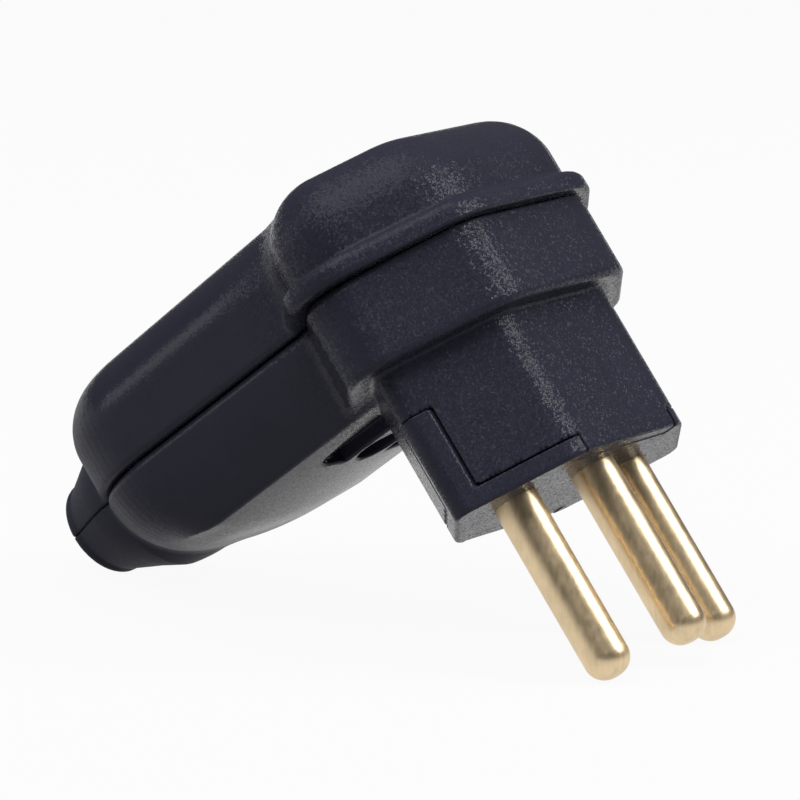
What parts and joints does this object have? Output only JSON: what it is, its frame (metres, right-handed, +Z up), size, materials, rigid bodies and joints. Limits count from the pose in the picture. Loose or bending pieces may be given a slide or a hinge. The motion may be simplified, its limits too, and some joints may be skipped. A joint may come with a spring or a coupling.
{
  "type": "right-angle mains plug",
  "caption": "Right-angle rewirable mains plug: round brass pins in a hexagonal engagement block, domed head, rounded arm and tapering cord outlet.",
  "frame": {"origin": "on the table, under the middle of the plug's box as it rests on its live pins and outlet", "axes": "+Z up, +Y level from the pins' side towards the cord outlet, +X along the row of live pins"},
  "size_m": [0.045, 0.0732, 0.0481],
  "materials": {
    "housing": "fine matt grain",
    "insulator": "satin",
    "contact": "satin",
    "screw": "zinc plated"
  },
  "bodies": {
    "root": {"base_shell": "housing", "cover_shell": "housing", "pin_carrier": "insulator", "line_pin": "contact", "neutral_pin": "contact", "earth_pin": "contact", "line_terminal_screw": "screw", "neutral_terminal_screw": "screw", "earth_terminal_screw": "screw", "cord_clamp": "insulator", "clamp_screw_left": "screw", "clamp_screw_right": "screw", "closing_screw": "screw"}
  },
  "joints": []
}
